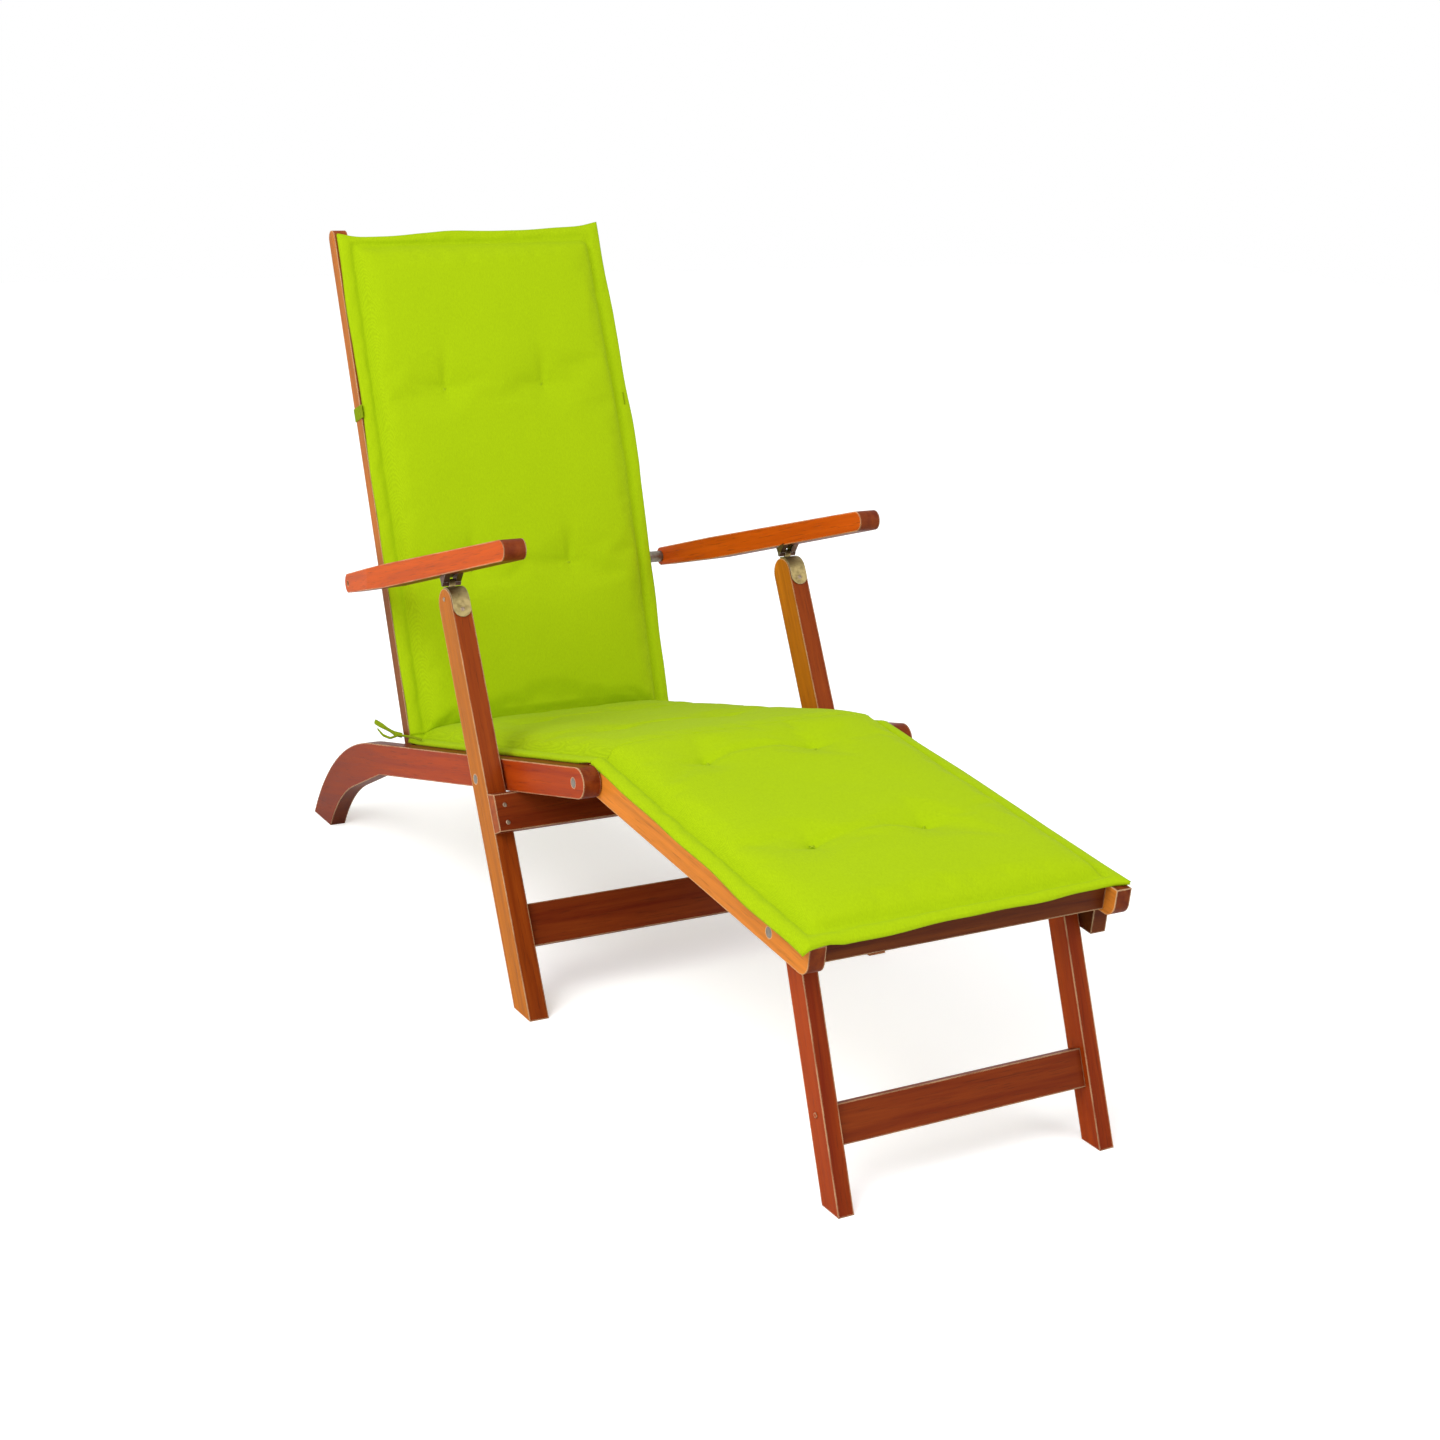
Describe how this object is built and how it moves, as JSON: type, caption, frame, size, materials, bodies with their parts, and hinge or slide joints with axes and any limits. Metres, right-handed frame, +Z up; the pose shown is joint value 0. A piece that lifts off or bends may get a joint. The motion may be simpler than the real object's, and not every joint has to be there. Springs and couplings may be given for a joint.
{
  "type": "folding chaise longue",
  "caption": "Folding wooden chaise longue with arms, a footrest on its own legs and a tufted pad; back, arms and front legs fold together.",
  "frame": {"origin": "on the floor under the middle of the chair's overall box", "axes": "+X forward to the footrest, +Y to the sitter's left, +Z up"},
  "size_m": [1.552, 0.58, 0.9671],
  "materials": {
    "wood": "satin",
    "dark_wood": "satin",
    "pad_fabric": "woven",
    "elastic": "woven",
    "steel": "satin",
    "dark_steel": "satin",
    "brass": "worn"
  },
  "bodies": {
    "seat": {"seat_rail_left": "wood", "seat_rail_right": "wood", "seat_slats": "wood", "seat_pad": "pad_fabric", "back_bolts": "steel", "leg_bolts": "steel", "leg_spacers": "steel", "footrest_bolts": "steel"},
    "back": {"back_rail_left": "dark_wood", "back_rail_right": "dark_wood", "back_slats": "wood", "back_pad": "pad_fabric", "elastic_straps": "elastic", "arm_pins": "steel", "arm_spacers": "steel"},
    "arms": {"arm_left": "wood", "arm_right": "wood", "bracket_left": "dark_steel", "bracket_right": "dark_steel", "hinge_pins": "steel"},
    "front_legs": {"leg_left": "wood", "leg_right": "wood", "upper_stretcher": "dark_wood", "lower_stretcher": "dark_wood", "strap_left": "brass", "strap_right": "brass", "strap_screws": "steel", "leg_screws": "steel", "stretcher_screws": "steel"},
    "footrest": {"footrest_rail_left": "wood", "footrest_rail_right": "wood", "footrest_slats": "wood", "footrest_apron": "dark_wood", "footrest_pad": "pad_fabric", "stop_block": "dark_wood", "footrest_leg_bolts": "steel", "footrest_spacers": "steel"},
    "footrest_legs": {"footrest_leg_left": "wood", "footrest_leg_right": "wood", "footrest_stretcher": "dark_wood", "footrest_screws": "steel"}
  },
  "joints": [
    {"name": "back_fold", "type": "hinge", "parent": "seat", "child": "back", "pos_m": [-0.40359, 0, 0.20392], "axis": [0, 1, 0], "range_deg": [0, 72], "deforming": ["back_pad", "seat_pad"]},
    {"name": "legs_fold", "type": "hinge", "parent": "seat", "child": "front_legs", "pos_m": [-0.03547, 0, 0.2856], "axis": [0, 1, 0], "range_deg": [0, 72]},
    {"name": "arms_fold", "type": "hinge", "parent": "back", "child": "arms", "pos_m": [-0.52068, 0, 0.45275], "axis": [0, 1, 0], "range_deg": [-72, 0]},
    {"name": "footrest_fold", "type": "hinge", "parent": "seat", "child": "footrest", "pos_m": [0.19805, 0, 0.34694], "axis": [0, -1, 0], "range_deg": [0, 80], "deforming": ["footrest_pad"]},
    {"name": "footrest_legs_fold", "type": "hinge", "parent": "footrest", "child": "footrest_legs", "pos_m": [0.64553, 0, 0.30228], "axis": [0, 1, 0], "range_deg": [0, 98]}
  ],
  "couplings": [
    {"joint": "legs_fold", "follows": "back_fold", "ratio": 1},
    {"joint": "arms_fold", "follows": "back_fold", "ratio": -1}
  ]
}
